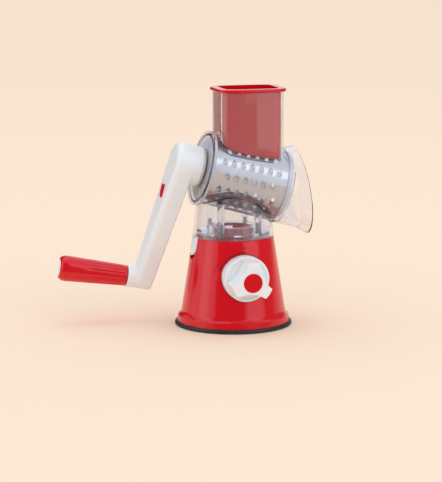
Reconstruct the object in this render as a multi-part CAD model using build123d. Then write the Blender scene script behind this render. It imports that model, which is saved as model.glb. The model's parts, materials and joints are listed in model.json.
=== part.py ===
from build123d import *
import os
from math import cos, radians, sin

os.makedirs("parts", exist_ok=True)

# Rotary drum grater on a suction base, in millimetres.
# Origin: middle of the face it rests on.  +Z up.  The lock knob faces -Y,
# the spout points to +X and down, and the crank is on the -X side.

# ---- driving dimensions: suction base ----
PAD_R = 60.5  # rubber suction pad
PAD_RIM_H = 4.2  # height of its rim
BASE_TOP_Z = 92.5  # joint between base and clear housing
BASE_TOP_R = 41.8
WAIST_R = 53.6  # where the cone turns out into the skirt
WAIST_Z = 16.0
SKIRT_R = 57.8
SKIRT_TOP_Z = 10.4
SHELL_WALL = 2.5
COLLAR_R = 20.0  # collar on the deck that centres the housing
COLLAR_TOP_Z = 102.0

# ---- driving dimensions: lock knob and pull stem ----
KNOB_Z = 55.2  # height of the knob's axis
KNOB_R = 23.4
KNOB_FACE_Y = -54.0  # outer plane of the knob's disc
KNOB_TOP_Y = -75.7  # outer end of the lobed grip
WELL_FLOOR_Y = -37.2  # floor of the round well that the knob sits in
CAM_THROW = 5.0  # eccentric pin's distance from the knob's axis
LOCK_ANGLE = 31.5  # pin's height angle in the locked position
SHAFT_R = 5.0
STEM_R = 5.0
RUN_CLEARANCE = 0.05  # radial clearance of every running fit

# ---- driving dimensions: housing, chute and spout ----
DRUM_Z = 155.0  # height of the drum axis above the base's middle
DRUM_TILT = 14.06  # fall of the drum axis towards the spout, degrees
HOUSING_WALL = 2.2
REAR_S = -35.5  # rear face of the barrel, along the drum axis
FLANGE_R = 38.8
MOUTH_TOP_S = 55.4  # slanted spout mouth: upper and lower edge
MOUTH_LOW_S = 91.2
SPOUT_R = 39.2
LIP_R = 42.6
LIP_LENGTH = 12.0
CHUTE_X = 15.7  # middle of the chute
CHUTE_W = 66.8
CHUTE_D = 55.0
CHUTE_TOP_Z = 241.4
RIM_TOP_Z = 245.0

# ---- driving dimensions: drum ----
DRUM_REAR_S = -29.5
DRUM_FRONT_S = 48.5
DRUM_REAR_R = 31.0
DRUM_FRONT_R = 33.5
DRUM_SHEET = 0.8
TOOTH_ROWS = 14
TEETH_PER_ROW = 7
TOOTH_PITCH = 9.7
TOOTH_PHASE = -11.0  # turn of the first row from straight up, degrees

# ---- driving dimensions: crank ----
ARM_OUT_S = -66.5  # outer face of the arm
ARM_SEAM_S = -52.2  # parting plane of its two shells
ARM_BACK_S = -47.0
HUB_END_S = -39.2
ARM_TOP_R = 21.2
ARM_LOW_R = 11.6
CRANK_R = 136.2  # from the drum axis to the grip's axis
CRANK_TURN = 19.0  # how far the arm hangs from straight down
GRIP_SPLAY = 5.0  # the grip's axis leans away from the hub
HEX_FLATS = 10.0
BUTTON_DISTANCE = 34.5
GRIP_ROOT_S = -58.0  # where the grip's axis leaves the arm's middle plane

# ---- driving dimensions: grip ----
GRIP_START = 16.6  # grip's inner end, from the grip frame's origin
GRIP_LENGTH = 71.2
GRIP_INNER_R = 10.8
GRIP_OUTER_R = 13.4
GRIP_RIBS = 10
AXLE_R = 3.0

BOTTOM = (Align.CENTER, Align.CENTER, Align.MIN)
FAR = 200.0

# The drum frame: local z runs along the drum axis to the spout, local x is up.
DRUM_FRAME = Plane(
    origin=(0, 0, DRUM_Z),
    x_dir=(sin(radians(DRUM_TILT)), 0, cos(radians(DRUM_TILT))),
    z_dir=(cos(radians(DRUM_TILT)), 0, -sin(radians(DRUM_TILT))),
).location
# The crank frame: as the drum frame, with the arm along local -x.
CRANK_FRAME = DRUM_FRAME * Rot(0, 0, CRANK_TURN)
# The grip frame: local z runs outwards along the grip from the collar's end.
GRIP_FRAME = CRANK_FRAME * Pos(-CRANK_R, 0, GRIP_ROOT_S) * Rot(0, GRIP_SPLAY, 0) * Rot(180, 0, 0)
# The knob frame: local z runs out of the front, along -Y.
KNOB_FRAME = Plane(origin=(0, 0, KNOB_Z), x_dir=(1, 0, 0), z_dir=(0, -1, 0)).location


def ring(low, high, r_out, r_in=0.0):
    """Disc or ring about Z between two heights."""
    body = Pos(0, 0, low) * Cylinder(r_out, high - low, align=BOTTOM)
    if r_in > 0:
        body -= Pos(0, 0, low - 1) * Cylinder(r_in, high - low + 2, align=BOTTOM)
    return body


def turned(points):
    """Solid turned about Z from an outline of (radius, height) points."""
    face = Plane.XZ * make_face(Polyline(*points, close=True))
    return revolve(face, Axis.Z)


def slab(x_low, x_high, y_low, y_high, z_low, z_high):
    """Block between two corners."""
    size = (x_high - x_low, y_high - y_low, z_high - z_low)
    middle = ((x_low + x_high) / 2, (y_low + y_high) / 2, (z_low + z_high) / 2)
    return Pos(*middle) * Box(*size)


def cone_radius(z):
    """Outer radius of the base's cone at a height."""
    return BASE_TOP_R + (WAIST_R - BASE_TOP_R) * (BASE_TOP_Z - z) / (BASE_TOP_Z - WAIST_Z)


def polar(radius, angle):
    """Point in the plane at a radius and an angle in degrees."""
    return (radius * cos(radians(angle)), radius * sin(radians(angle)))


def save(part, name):
    """One STEP file for one named piece."""
    part.label = name
    export_step(part, "parts/" + name + ".step")


# ------------------------------------------------------------------ base

POSTS = [polar(33.0, angle) for angle in (0, 125, 235)]
TONGUE_HALF = 10.4
TONGUE_LOW_Z = 73.5
TONGUE_TRAVEL = 3.0
LATCH_FLOOR_X = -33.0


def base_outer():
    """Full outer form of the base: cone, concave waist and skirt."""
    edge = 0.8
    outline = (
        Line((0, BASE_TOP_Z), (BASE_TOP_R - edge, BASE_TOP_Z))
        + Line((BASE_TOP_R - edge, BASE_TOP_Z), (BASE_TOP_R, BASE_TOP_Z - edge))
        + Line((BASE_TOP_R, BASE_TOP_Z - edge), (WAIST_R, WAIST_Z))
        + ThreePointArc((WAIST_R, WAIST_Z), (WAIST_R + 1.3, 12.6), (SKIRT_R - 0.6, SKIRT_TOP_Z))
        + Line((SKIRT_R - 0.6, SKIRT_TOP_Z), (SKIRT_R, PAD_RIM_H))
        + Line((SKIRT_R, PAD_RIM_H), (0, PAD_RIM_H))
        + Line((0, PAD_RIM_H), (0, BASE_TOP_Z))
    )
    return revolve(Plane.XZ * make_face(outline), Axis.Z)


def base_hollow():
    """Space inside the base's wall."""
    return turned(
        [
            (0, PAD_RIM_H - 1),
            (SKIRT_R - SHELL_WALL, PAD_RIM_H - 1),
            (SKIRT_R - SHELL_WALL - 0.6, SKIRT_TOP_Z),
            (WAIST_R - SHELL_WALL, WAIST_Z),
            (cone_radius(BASE_TOP_Z - SHELL_WALL) - SHELL_WALL, BASE_TOP_Z - SHELL_WALL),
            (0, BASE_TOP_Z - SHELL_WALL),
        ]
    )


def tongue_prism(half_width, low_z, x_low, x_high):
    """Tongue outline with a round lower end, drawn through the -X wall."""
    round_z = low_z + half_width
    bar = slab(x_low, x_high, -half_width, half_width, round_z, BASE_TOP_Z + 1)
    end = Pos(0, 0, round_z) * Rot(0, 90, 0) * Cylinder(half_width, x_high - x_low)
    end = Pos((x_low + x_high) / 2, 0, 0) * end
    return bar + end


def base_shell():
    """Red outer shell with deck, collar, knob well and latch well."""
    outer = base_outer()
    shell = outer - base_hollow()
    well = KNOB_FRAME * ring(-WELL_FLOOR_Y - SHELL_WALL, 70, KNOB_R + 3.2)
    latch_well = tongue_prism(TONGUE_HALF + 2.6, 67.3, -60, LATCH_FLOOR_X + 2.2)
    shell += (well & outer) + (latch_well & outer)
    for x, y in POSTS:
        shell += Pos(x, y, 0) * ring(29.0, BASE_TOP_Z - SHELL_WALL, 4.0)
        shell -= Pos(x, y, 0) * ring(20.0, 44.0, 1.5)
    shell -= KNOB_FRAME * ring(-WELL_FLOOR_Y, 90, KNOB_R + 0.7)
    shell -= KNOB_FRAME * ring(20, 60, 8.5)
    shell -= tongue_prism(TONGUE_HALF + 0.4, 69.5, -60, LATCH_FLOOR_X)
    shell -= Pos(LATCH_FLOOR_X, 0, 84.0) * Rot(0, 90, 0) * Cylinder(3.3, 12)
    return shell + deck_collar()


def deck_collar():
    """Collar on the deck with four windows and four outside lugs."""
    collar = ring(BASE_TOP_Z, COLLAR_TOP_Z, COLLAR_R, COLLAR_R - 2.5)
    for angle in (0, 90, 180, 270):
        collar -= Rot(0, 0, angle) * slab(10, 30, -4.5, 4.5, 95.0, 99.4)
        lug = ring(97.6, 100.6, COLLAR_R + 1.8, COLLAR_R - 1.0)
        collar += Rot(0, 0, angle + 45) * (lug & slab(10, 30, -5, 5, 90, 110))
    return collar


def inner_frame():
    """Frame inside the base: plate, stem guide and cam shaft bearing."""
    frame = ring(26.0, 29.0, 47.5)
    frame += ring(16.0, 40.0, STEM_R + 2.6)
    frame += slab(-9.5, 9.5, -17.0, -11.5, 29.0, 64.5)
    frame += slab(-24.0, -9.5, -15.5, -13.0, 29.0, 46.0)
    frame += slab(9.5, 24.0, -15.5, -13.0, 29.0, 46.0)
    frame -= ring(10.0, 50.0, STEM_R + RUN_CLEARANCE)
    frame -= KNOB_FRAME * ring(5, 25, SHAFT_R + RUN_CLEARANCE)
    frame -= slab(-32.0, 32.0, -60.0, WELL_FLOOR_Y + SHELL_WALL + 1.0, 20.0, 35.0)
    for x, y in POSTS:
        frame -= Pos(x, y, 0) * ring(20.0, 35.0, 1.5)
    for angle in (60, 180, 300):
        x, y = polar(28.0, angle)
        frame -= Pos(x, y, 0) * ring(20.0, 35.0, 7.0)
    return frame


def frame_screws():
    """Three screws that hold the inner frame to the shell's posts."""
    screws = []
    for x, y in POSTS:
        head = ring(24.0, 26.0, 3.1) - ring(23.0, 25.0, 1.2)
        screws.append(Pos(x, y, 0) * (head + ring(25.9, 42.0, 1.5)))
    return Compound(children=screws)


STEM_CAVITY = 0.12


def suction_pad():
    """Rubber pad in its locked, drawn-up form, hollow around the stem's plate."""
    pad = turned(
        [
            (0, 5.4),
            (9.0, 5.4),
            (46.0, 0.8),
            (48.0, 0),
            (PAD_R - 0.9, 0),
            (PAD_R, 0.9),
            (SKIRT_R + 1.3, PAD_RIM_H),
            (45.5, PAD_RIM_H),
            (12.0, 8.4),
            (10.5, 14.0),
            (0, 14.0),
        ]
    )
    pad -= ring(8.0 - STEM_CAVITY, 10.0 + STEM_CAVITY, 7.5 + STEM_CAVITY)
    pad -= ring(9.0, 16.0, 3.0 + STEM_CAVITY)
    return pad


def pad_ring():
    """Ring that clamps the pad's rim up against the shell's skirt."""
    clamp = ring(PAD_RIM_H, 6.6, 53.9, 46.5)
    clamp += ring(6.6, 10.0, 49.0, 46.5)
    for angle in range(0, 360, 60):
        clamp -= Rot(0, 0, angle) * slab(45.0, 50.0, -6.0, 6.0, 7.6, 12.0)
    return clamp


def shaft_bush():
    """Flanged bush for the cam shaft in the knob well's floor."""
    tube = ring(-WELL_FLOOR_Y - 4.2, -WELL_FLOOR_Y - 0.4, 8.5, SHAFT_R + RUN_CLEARANCE)
    flange = ring(-WELL_FLOOR_Y - 4.2, -WELL_FLOOR_Y - SHELL_WALL, 11.0, 8.5)
    return KNOB_FRAME * (tube + flange)


def release_button():
    """White tongue that releases the housing, with its guide peg."""
    outside = turned([(0, 0), (cone_radius(0) + 0.3, 0), (cone_radius(120) + 0.3, 120), (0, 120)])
    inside = turned([(0, 0), (cone_radius(0) - 2.6, 0), (cone_radius(120) - 2.6, 120), (0, 120)])
    tongue = tongue_prism(TONGUE_HALF, TONGUE_LOW_Z, -60, -30) & outside
    tongue -= inside
    tongue -= slab(-60, -20, -20, 20, BASE_TOP_Z - 0.4, 120)
    peg = Pos(-35.5, 0, 84.0) * Rot(0, 90, 0) * Cylinder(3.0, 11.0)
    nose = slab(-41.0, -37.2, -5.0, 5.0, 88.6, BASE_TOP_Z - 0.4)
    return tongue + peg + nose


def coil(radius, wire_r, length, turns):
    """Compression spring about Z, standing on z = 0."""
    path = Helix(pitch=(length - 2 * wire_r) / turns, height=length - 2 * wire_r, radius=radius)
    section = Plane(origin=path @ 0, z_dir=path % 0) * Circle(wire_r)
    return Pos(0, 0, wire_r) * sweep(section, path=path)


def latch_spring():
    """Spring that pushes the release tongue back out."""
    length = 5.9
    return Pos(LATCH_FLOOR_X - length, 0, 84.0) * Rot(0, 90, 0) * coil(4.2, 0.35, length, 4)


# ------------------------------------------------------- knob and stem

RIDGE_END_R = 21.4
SCOOP_R = 31.8
SCOOP_MIDDLE = 43.9
SCOOP_ANGLES = (25.0, 145.0, 265.0)
DISH_DEPTH = 1.4
DISH_R = 20.6


def knob_grip():
    """Three-armed grip: an upright drum with three finger scoops cut down its side."""
    low = -KNOB_FACE_Y - DISH_DEPTH
    height = KNOB_FACE_Y - KNOB_TOP_Y + DISH_DEPTH
    grip = Pos(0, 0, low - 0.5) * Cone(RIDGE_END_R + 0.5, RIDGE_END_R - 0.4, height + 0.5, align=BOTTOM)
    for angle in SCOOP_ANGLES:
        x, y = polar(SCOOP_MIDDLE, angle)
        grip -= Pos(x, y, low) * Cone(SCOOP_R - 0.4, SCOOP_R + 0.4, height + 1, align=BOTTOM)
    return grip


def knob():
    """White lock knob: skirt, dished disc and three-armed grip."""
    disc_low = -KNOB_FACE_Y - 3.4
    body = ring(-WELL_FLOOR_Y + 1.0, -KNOB_FACE_Y, KNOB_R)
    body -= ring(-WELL_FLOOR_Y, disc_low, KNOB_R - 2.4)
    body -= ring(-KNOB_FACE_Y - DISH_DEPTH, -KNOB_FACE_Y + 1, DISH_R)
    body += ring(-WELL_FLOOR_Y + 2.0, disc_low + 0.5, 8.0)
    body += knob_grip()
    body -= ring(30, 70.0, 4.5)
    body -= ring(60, 80.0, 2.0)
    body -= ring(-KNOB_TOP_Y - 4.2, 90, 9.7)
    return KNOB_FRAME * body


def knob_cap():
    """Red cap over the knob's screw."""
    cap = ring(-KNOB_TOP_Y - 1.6, -KNOB_TOP_Y + 0.6, 9.7)
    cap = fillet(cap.edges().group_by(Axis.Z)[-1], 0.5)
    return KNOB_FRAME * cap


def knob_screw():
    """Screw that holds the knob on the cam shaft."""
    screw = ring(-KNOB_TOP_Y - 4.2, -KNOB_TOP_Y - 2.0, 4.4) + ring(58.0, -KNOB_TOP_Y - 4.0, 2.0)
    return KNOB_FRAME * (screw - ring(-KNOB_TOP_Y - 3.2, 90, 1.4))


def cam_shaft():
    """Cam shaft: journal, knob seat, crank disc and eccentric pin."""
    shaft = ring(5.5, -WELL_FLOOR_Y + 2.0, SHAFT_R)
    shaft += ring(-WELL_FLOOR_Y + 2.0, 70.0, 4.5)
    shaft += ring(5.5, 8.6, 7.6)
    shaft -= ring(58.0, 90, 2.0)
    x, y = polar(CAM_THROW, 180 - LOCK_ANGLE)
    shaft += Pos(x, y, 0) * ring(-4.5, 5.6, 2.0)
    return KNOB_FRAME * shaft


def pull_stem():
    """Stem that lifts the pad's middle, with the yoke that the cam pin works in."""
    pin_x, pin_z = polar(CAM_THROW, 180 - LOCK_ANGLE)
    yoke = slab(-11.0, 5.6, -2.6, 2.6, KNOB_Z + pin_z - 6.0, KNOB_Z + pin_z + 6.0)
    slot = slab(-5.4, pin_x + 0.3, -5.0, 5.0, KNOB_Z + pin_z - 2.2, KNOB_Z + pin_z + 2.2)
    for x in (-5.4, pin_x + 0.3):
        slot += Pos(x, 0, KNOB_Z + pin_z) * Rot(90, 0, 0) * Cylinder(2.2, 10)
    stem = ring(14.3, KNOB_Z + pin_z - 5.9, STEM_R) + (yoke - slot)
    return stem + ring(10.0, 14.4, 3.0)


def stem_plate():
    """Steel plate at the stem's foot, moulded into the pad's boss."""
    return ring(8.0, 10.0, 7.5)


def stem_spring():
    """Spring that pushes the pad's middle down when the knob is opened."""
    return Pos(0, 0, 14.5) * coil(9.2, 0.6, 11.0, 3)


# ------------------------------------------------------------- housing


def crowned_block(width, depth, corner, low, high):
    """Upright prism with gently crowned long sides and round corners."""
    w, d = width / 2, depth / 2
    crown = 1.8
    outline = (
        ThreePointArc((-w, -d + crown), (0, -d), (w, -d + crown))
        + Line((w, -d + crown), (w, d - crown))
        + ThreePointArc((w, d - crown), (0, d), (-w, d - crown))
        + Line((-w, d - crown), (-w, -d + crown))
    )
    face = make_face(outline)
    face = fillet(face.vertices(), corner)
    return Pos(CHUTE_X, 0, low) * extrude(face, high - low)


def barrel_radius(s):
    """Bore radius of the barrel, which widens towards the spout."""
    return 34.0 + 2.1 * (s - DRUM_REAR_S) / (DRUM_FRONT_S - DRUM_REAR_S)


def mouth_plane(back):
    """Plane parallel to the slanted mouth, its middle on the axis, set back along it."""
    rise = MOUTH_LOW_S - MOUTH_TOP_S
    across = 2 * LIP_R
    normal = (rise, 0, across)
    middle = (MOUTH_TOP_S + MOUTH_LOW_S) / 2
    return Plane(origin=(0, 0, middle - back), x_dir=(across, 0, -rise), z_dir=normal)


def mouth_loft(r_neck, r_mouth, overrun):
    """Flared lip between two parallel slanted planes; its neck starts inside the wall."""
    rise = MOUTH_LOW_S - MOUTH_TOP_S
    stretch = (rise**2 + (2 * LIP_R) ** 2) ** 0.5 / (2 * LIP_R)
    r_start = r_neck - 0.4
    neck = mouth_plane(LIP_LENGTH) * Ellipse(r_start * stretch, r_start)
    mouth = mouth_plane(-overrun) * Ellipse(r_mouth * stretch, r_mouth)
    return loft([neck, mouth])


def behind_mouth(back):
    """Half space behind a slanted plane, as a block."""
    return mouth_plane(back).location * Pos(0, 0, -FAR / 2) * Box(FAR, FAR, FAR)


def barrel_outer():
    """Outside of barrel, rear flange and spout, in the drum frame."""
    body = turned(
        [
            (0, REAR_S),
            (FLANGE_R, REAR_S),
            (FLANGE_R, REAR_S + 4.0),
            (barrel_radius(REAR_S + 4) + HOUSING_WALL, REAR_S + 4.0),
            (barrel_radius(DRUM_FRONT_S) + HOUSING_WALL, DRUM_FRONT_S),
            (SPOUT_R, DRUM_FRONT_S + 3.0),
            (SPOUT_R, 100),
            (0, 100),
        ]
    )
    return (body & behind_mouth(0)) + mouth_loft(SPOUT_R, LIP_R, 0)


def barrel_inner():
    """Bore of barrel and spout, in the drum frame."""
    spout_bore = SPOUT_R - HOUSING_WALL
    body = turned(
        [
            (0, REAR_S + 2.4),
            (barrel_radius(REAR_S + 2.4), REAR_S + 2.4),
            (barrel_radius(DRUM_FRONT_S + 5.2), DRUM_FRONT_S + 5.2),
            (spout_bore, DRUM_FRONT_S + 6.2),
            (spout_bore, 100),
            (0, 100),
        ]
    )
    return (body & behind_mouth(-0.2)) + mouth_loft(spout_bore, LIP_R - HOUSING_WALL, 0.2)


def neck_loft(inset, low, top):
    """Neck that changes from a circle on the base to an oval under the barrel."""
    foot = Pos(0, 0, low) * Circle(BASE_TOP_R - inset)
    head = Pos(0, 0, top) * Ellipse(37.2 - inset, 31.5 - inset)
    return loft([foot, head])


BOSSES = [polar(30.0, angle) for angle in (50, 130, 230, 310)]
PLATE_Z = 96.0
PLATE_H = 2.4


def main_housing():
    """Clear housing: neck, barrel, flange, chute and spout in one moulding."""
    chute = crowned_block(CHUTE_W, CHUTE_D, 13.0, DRUM_Z, CHUTE_TOP_Z)
    barrel = DRUM_FRAME * barrel_outer()
    neck_top = 140.0
    neck = neck_loft(0, BASE_TOP_Z, neck_top)
    hollow = neck_loft(2.4, BASE_TOP_Z - 0.01, neck_top + 1.0) - barrel
    hollow &= slab(-60, 60, -60, 60, 80, neck_top - 4)
    for x, y in BOSSES:
        hollow -= Pos(x, y, 0) * ring(PLATE_Z + PLATE_H, 150, 3.6)
    housing = neck + barrel + chute - hollow
    housing -= DRUM_FRAME * barrel_inner()
    bore_w = CHUTE_W - 2 * HOUSING_WALL
    bore_d = CHUTE_D - 2 * HOUSING_WALL
    housing -= crowned_block(bore_w, bore_d, 10.8, DRUM_Z, CHUTE_TOP_Z + 1)
    housing -= DRUM_FRAME * ring(REAR_S - 5, REAR_S + 5, 11.0)
    for x, y in BOSSES:
        housing -= Pos(x, y, 0) * ring(PLATE_Z, PLATE_Z + 12, 1.5)
    return housing


def coupling_plate():
    """Plate under the neck that drops over the base's collar."""
    plate = ring(PLATE_Z, PLATE_Z + PLATE_H, 37.8, COLLAR_R + 3.0)
    plate += ring(PLATE_Z + PLATE_H, PLATE_Z + 7.4, COLLAR_R + 5.2, COLLAR_R + 3.0)
    plate -= slab(-45, -33.5, -8, 8, 90, 110)
    for x, y in BOSSES:
        plate -= Pos(x, y, 0) * ring(90, 110, 1.5)
    return plate


def plate_screws():
    """Four screws that hold the coupling plate to the neck's bosses."""
    screws = []
    for x, y in BOSSES:
        head = ring(PLATE_Z - 1.9, PLATE_Z, 3.0) - ring(PLATE_Z - 3, PLATE_Z - 1.0, 1.1)
        screws.append(Pos(x, y, 0) * (head + ring(PLATE_Z - 0.1, PLATE_Z + 11, 1.5)))
    return Compound(children=screws)


def rear_bush():
    """White bush in the barrel's rear wall that the drum's stub turns in."""
    bush = ring(REAR_S - 0.6, REAR_S + 3.4, 11.0, 9.0 + RUN_CLEARANCE)
    bush += ring(REAR_S + 2.4, REAR_S + 3.4, 13.5, 11.0)
    return DRUM_FRAME * bush


# -------------------------------------------------------------- pusher


def drum_clearance():
    """Cone around the drum that the pusher's foot is cut back to."""
    gap = 3.2
    rear = DRUM_REAR_R + gap
    front = DRUM_FRONT_R + gap
    return DRUM_FRAME * turned([(0, -60), (rear - 0.9, -60), (front + 0.7, 70), (0, 70)])


def pusher():
    """Red hollow food pusher with a rounded rim, its foot shaped to the drum."""
    slide_gap = 0.4
    width = CHUTE_W - 2 * HOUSING_WALL - 2 * slide_gap
    depth = CHUTE_D - 2 * HOUSING_WALL - 2 * slide_gap
    body = crowned_block(width, depth, 10.4, DRUM_Z + 4, RIM_TOP_Z - 1)
    rim = crowned_block(73.0, 57.4, 15.5, CHUTE_TOP_Z + 0.1, RIM_TOP_Z)
    rim = fillet(rim.edges().group_by(Axis.Z)[-1], 1.6)
    rim = fillet(rim.edges().group_by(Axis.Z)[0], 1.2)
    wall = 2.3
    cavity_floor_z = 200.0
    cavity = crowned_block(width - 2 * wall, depth - 2 * wall, 8.2, cavity_floor_z, RIM_TOP_Z + 1)
    return body + rim - cavity - drum_clearance()


# ---------------------------------------------------------------- drum


def drum_blade():
    """Conical steel drum with staggered rows of grating mouths."""
    blade = turned(
        [
            (DRUM_REAR_R - DRUM_SHEET, DRUM_REAR_S),
            (DRUM_REAR_R, DRUM_REAR_S),
            (DRUM_FRONT_R, DRUM_FRONT_S),
            (DRUM_FRONT_R - DRUM_SHEET, DRUM_FRONT_S),
        ]
    )
    mouths = []
    for row in range(TOOTH_ROWS):
        stagger = 0 if row % 2 else TOOTH_PITCH / 2
        teeth = TEETH_PER_ROW - 1 + row % 2
        for tooth in range(teeth):
            s = -20.0 + stagger + tooth * TOOTH_PITCH
            mouth = Pos(DRUM_FRONT_R - 2, 0, s) * Box(9.0, 2.6, 4.2)
            mouths.append(Rot(0, 0, row * 360 / TOOTH_ROWS + TOOTH_PHASE) * mouth)
    return DRUM_FRAME * (blade - mouths)


def drum_rear_plate():
    """White plate in the drum's rear end, with stub and hexagonal socket."""
    plate = turned(
        [
            (0, DRUM_REAR_S - 1.6),
            (DRUM_REAR_R + 0.8, DRUM_REAR_S - 1.6),
            (DRUM_REAR_R + 0.8, DRUM_REAR_S),
            (DRUM_REAR_R - DRUM_SHEET, DRUM_REAR_S),
            (DRUM_REAR_R - DRUM_SHEET, DRUM_REAR_S + 5.0),
            (DRUM_REAR_R - DRUM_SHEET - 2.0, DRUM_REAR_S + 5.0),
            (DRUM_REAR_R - DRUM_SHEET - 2.0, DRUM_REAR_S + 1.2),
            (0, DRUM_REAR_S + 1.2),
        ]
    )
    plate += ring(REAR_S - 0.9, DRUM_REAR_S - 1.5, 9.0)
    plate += ring(DRUM_REAR_S + 1.0, DRUM_REAR_S + 12.0, 8.6)
    plate -= Rot(0, 0, CRANK_TURN) * extrude_hex(REAR_S - 5, DRUM_REAR_S + 10.0, 0.15)
    return DRUM_FRAME * plate


def drum_front_ring():
    """White ring that stiffens the drum's open front end."""
    bore = DRUM_FRONT_R - DRUM_SHEET - 2.0
    seat = DRUM_FRONT_R - DRUM_SHEET - 0.25
    ring_part = turned(
        [
            (bore, DRUM_FRONT_S - 6.0),
            (seat, DRUM_FRONT_S - 6.0),
            (seat + 0.19, DRUM_FRONT_S),
            (DRUM_FRONT_R + 2.1, DRUM_FRONT_S),
            (DRUM_FRONT_R + 2.1, DRUM_FRONT_S + 4.6),
            (bore, DRUM_FRONT_S + 4.6),
        ]
    )
    return DRUM_FRAME * ring_part


# --------------------------------------------------------------- crank

ARM_WALL = 2.5
ARM_SCREWS = [(-62.0, 0.0), (-88.0, 0.0), (-112.0, 0.0)]


def arm_prism(inset, low, high):
    """Tapered arm outline between two planes across the drum axis."""
    outline = make_hull(
        (Circle(ARM_TOP_R - inset).edges()) + (Pos(-CRANK_R, 0) * Circle(ARM_LOW_R - inset)).edges()
    )
    return Pos(0, 0, low) * extrude(outline, high - low)


def grip_local(part):
    """Place a piece of the grip in the crank's own frame."""
    return Pos(-CRANK_R, 0, GRIP_ROOT_S) * Rot(0, GRIP_SPLAY, 0) * Rot(180, 0, 0) * part


def arm_outer_shell():
    """Outer half of the crank arm, with the elbow that carries the grip."""
    body = arm_prism(0, ARM_OUT_S, ARM_SEAM_S)
    body = fillet(body.edges().group_by(Axis.Z)[0], 6.5)
    body += grip_local(ring(-4.0, GRIP_START - 0.5, 11.4))
    body -= arm_prism(ARM_WALL, ARM_OUT_S + ARM_WALL, ARM_SEAM_S + 1)
    body += grip_local(ring(0.0, 12.0, 7.0)) & arm_prism(1.0, ARM_OUT_S + 1, ARM_SEAM_S)
    for x, y in ARM_SCREWS:
        post = Pos(x, y, 0) * ring(ARM_OUT_S + 1.0, ARM_SEAM_S, 3.6)
        body += post - Pos(x, y, 0) * ring(ARM_SEAM_S - 9.0, ARM_SEAM_S + 1, 1.4)
    body += ring(ARM_OUT_S + 1.0, ARM_SEAM_S, 9.0) - ring(ARM_SEAM_S - 9.0, ARM_SEAM_S + 1, 6.2)
    body -= button_prism(0.4, -70, ARM_OUT_S + 5)
    body -= grip_local(ring(-10.0, 30.0, 3.0))
    return CRANK_FRAME * body


def arm_inner_shell():
    """Inner half of the crank arm, with the hub."""
    body = arm_prism(0, ARM_SEAM_S, ARM_BACK_S)
    body = fillet(body.edges().group_by(Axis.Z)[-1], 2.0)
    body -= arm_prism(ARM_WALL, ARM_SEAM_S - 1, ARM_BACK_S - ARM_WALL)
    body += ring(ARM_BACK_S - 1.0, HUB_END_S, ARM_TOP_R - 0.2)
    body -= ring(ARM_BACK_S + 1.6, HUB_END_S + 1, ARM_TOP_R - 2.8)
    body += ring(ARM_SEAM_S, HUB_END_S, 9.6)
    body -= extrude_hex(ARM_SEAM_S - 1, HUB_END_S + 1, 0.0)
    for x, y in ARM_SCREWS:
        body += Pos(x, y, 0) * ring(ARM_SEAM_S, ARM_BACK_S - 1.0, 3.6)
        body -= Pos(x, y, 0) * ring(ARM_SEAM_S - 1, ARM_BACK_S + 1, 1.4)
        body -= Pos(x, y, 0) * ring(ARM_BACK_S - 1.8, ARM_BACK_S + 1, 2.8)
    body -= grip_local(ring(-20.0, 30.0, 3.0))
    return CRANK_FRAME * body


def extrude_hex(low, high, gap):
    """Hexagonal bar about Z."""
    return Pos(0, 0, low) * extrude(
        RegularPolygon(HEX_FLATS / 2 + gap, 6, major_radius=False), high - low
    )


def drive_shaft():
    """Hexagonal shaft that carries the crank's turn into the drum."""
    shaft = extrude_hex(ARM_SEAM_S, DRUM_REAR_S + 8.0, 0.0)
    shaft += ring(ARM_SEAM_S - 8.0, ARM_SEAM_S, 6.2)
    shaft &= turned([(0, -80), (7.2, -80), (7.2, -24.5), (4.4, DRUM_REAR_S + 8.0), (0, DRUM_REAR_S + 8.0)])
    return CRANK_FRAME * shaft


def thrust_washer():
    """Plastic washer between the crank's hub and the barrel's rear wall."""
    return CRANK_FRAME * ring(HUB_END_S, REAR_S - 0.9, 19.6, 10.2)


def arm_screws():
    """Three screws that close the two halves of the arm."""
    screws = []
    for x, y in ARM_SCREWS:
        head = ring(ARM_BACK_S - 1.8, ARM_BACK_S - 0.1, 2.8)
        head -= ring(ARM_BACK_S - 1.0, ARM_BACK_S, 1.0)
        shank = ring(ARM_SEAM_S - 8.0, ARM_BACK_S - 1.7, 1.4)
        screws.append(CRANK_FRAME * Pos(x, y, 0) * (head + shank))
    return Compound(children=screws)


BUTTON_HALF = 5.6
BUTTON_TOP = 7.0


def button_prism(gap, low, high):
    """Upright outline of the button, flat above and round below, between two planes."""
    half = BUTTON_HALF + gap
    round_x = BUTTON_HALF - BUTTON_TOP
    outline = slab(round_x, BUTTON_TOP + gap, -half, half, low, high)
    outline += Pos(round_x, 0, 0) * ring(low, high, half)
    return Pos(-BUTTON_DISTANCE, 0, 0) * Rot(0, 0, -CRANK_TURN) * outline


def crank_button():
    """Red button on the arm that frees the crank from the drum."""
    button = button_prism(0, ARM_OUT_S - 0.7, ARM_OUT_S + 4.0)
    button = fillet(button.edges().group_by(Axis.Z)[0], 0.6)
    return CRANK_FRAME * button


def button_spring():
    """Spring under the crank's button."""
    return CRANK_FRAME * Pos(-BUTTON_DISTANCE, 0, ARM_OUT_S + 4.1) * coil(4.5, 0.4, 12.4, 5)


# ---------------------------------------------------------------- grip


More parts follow.
